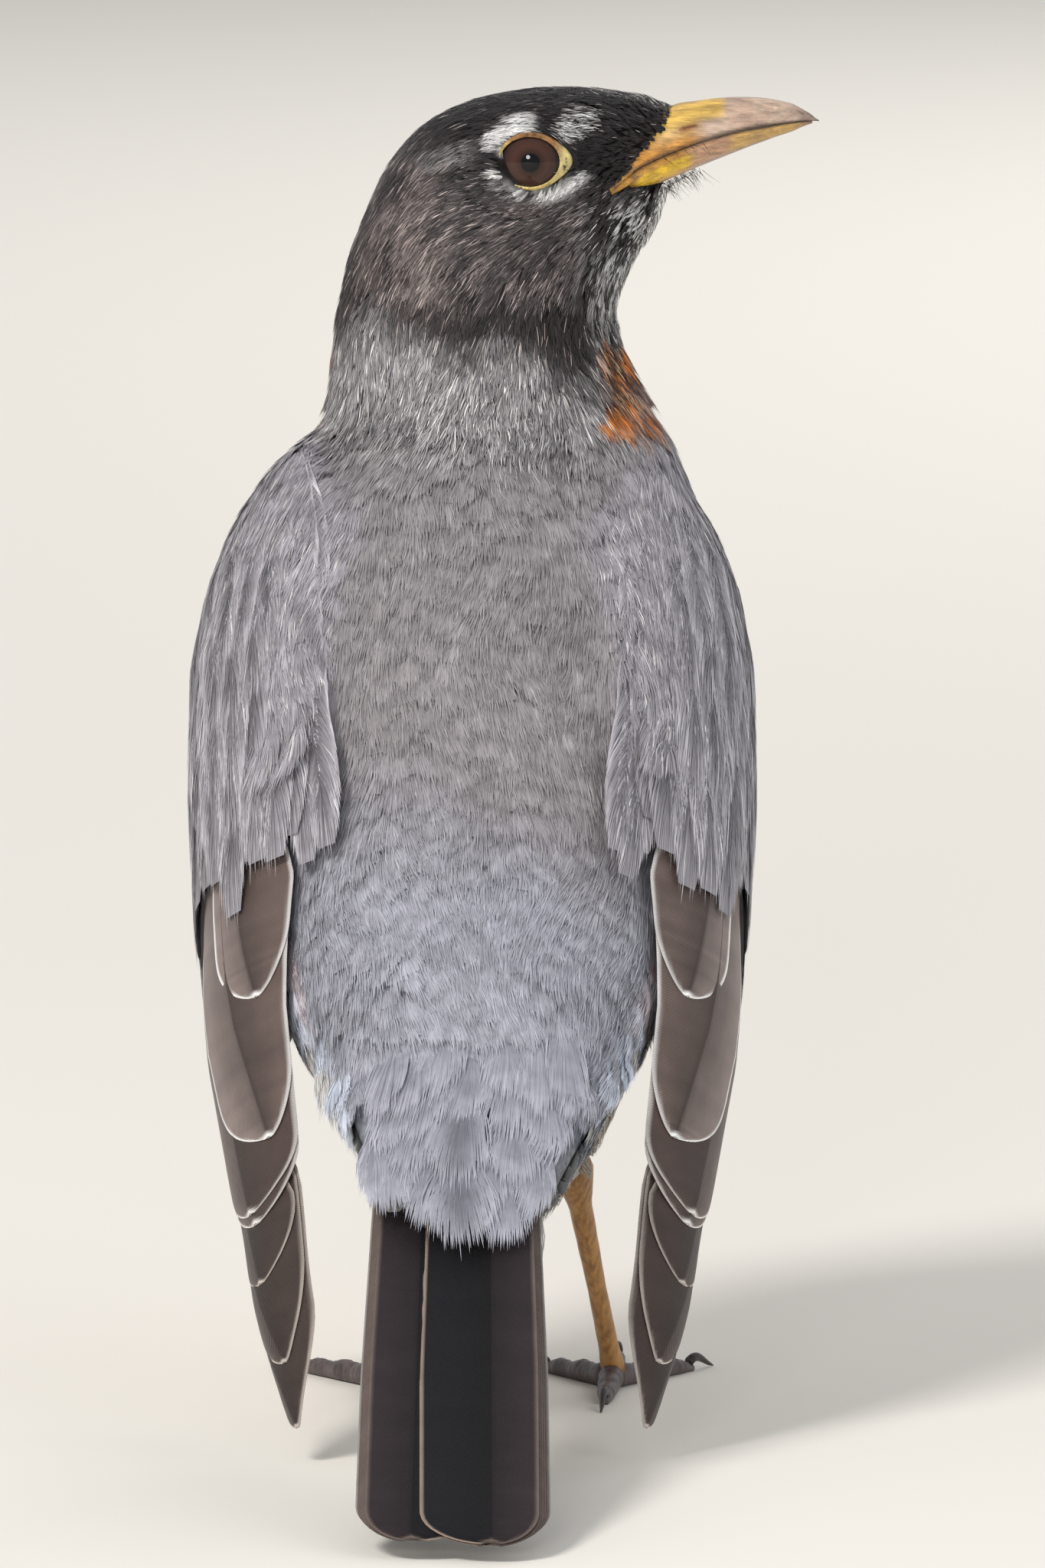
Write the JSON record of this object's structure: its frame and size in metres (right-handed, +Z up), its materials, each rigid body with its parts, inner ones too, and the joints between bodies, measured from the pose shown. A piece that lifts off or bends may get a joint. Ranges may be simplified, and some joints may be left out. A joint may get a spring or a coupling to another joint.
{
  "type": "american robin, still life-size model",
  "caption": "Still, life-size songbird standing on both feet, grey back and blackish hood, head turned over its right shoulder, wings drooped beside a closed tail.",
  "frame": {"origin": "on the floor, at the bottom centre of the bird's bounding box", "axes": "+Z up, +Y from breast to tail, +X to the bird's left; the bill points to -X"},
  "size_m": [0.075, 0.173, 0.1533],
  "materials": {
    "mantle_plumage": "soft, matt slate-grey feathers above; brick orange on the breast, white under the tail",
    "hood_plumage": "short charcoal-black feathers with brown-grey tips, white marks round the eye, streaked throat",
    "wing_plumage": "smooth brown-grey vanes with pale edges under soft grey coverts",
    "tail_plumage": "smooth blackish-brown vanes with paler edges and small white outer corners",
    "thigh_plumage": "fine grey-white down with darker bases",
    "bill_horn": "satin yellow-orange horn, dusky along the ridge and at the tip",
    "leg_scales": "smooth orange-brown scutes, darker on the toes",
    "claw_horn": "satin blackish-brown horn",
    "eye": "wet, clear cornea over a dark reddish-brown iris and a blue-black pupil"
  },
  "bodies": {
    "root": {"trunk": "mantle_plumage", "neck": "mantle_plumage", "head": "hood_plumage", "bill_upper": "bill_horn", "bill_lower": "bill_horn", "tail": "tail_plumage", "eye_left": "eye", "wing_left_coverts": "wing_plumage", "wing_left_secondaries": "wing_plumage", "wing_left_primaries": "wing_plumage", "thigh_left": "thigh_plumage", "shank_left": "leg_scales", "toe_left_middle": "leg_scales", "claw_left_middle": "claw_horn", "toe_left_inner": "leg_scales", "claw_left_inner": "claw_horn", "toe_left_outer": "leg_scales", "claw_left_outer": "claw_horn", "toe_left_hind": "leg_scales", "claw_left_hind": "claw_horn", "eye_right": "eye", "wing_right_coverts": "wing_plumage", "wing_right_secondaries": "wing_plumage", "wing_right_primaries": "wing_plumage", "thigh_right": "thigh_plumage", "shank_right": "leg_scales", "toe_right_middle": "leg_scales", "claw_right_middle": "claw_horn", "toe_right_inner": "leg_scales", "claw_right_inner": "claw_horn", "toe_right_outer": "leg_scales", "claw_right_outer": "claw_horn", "toe_right_hind": "leg_scales", "claw_right_hind": "claw_horn"}
  },
  "joints": []
}
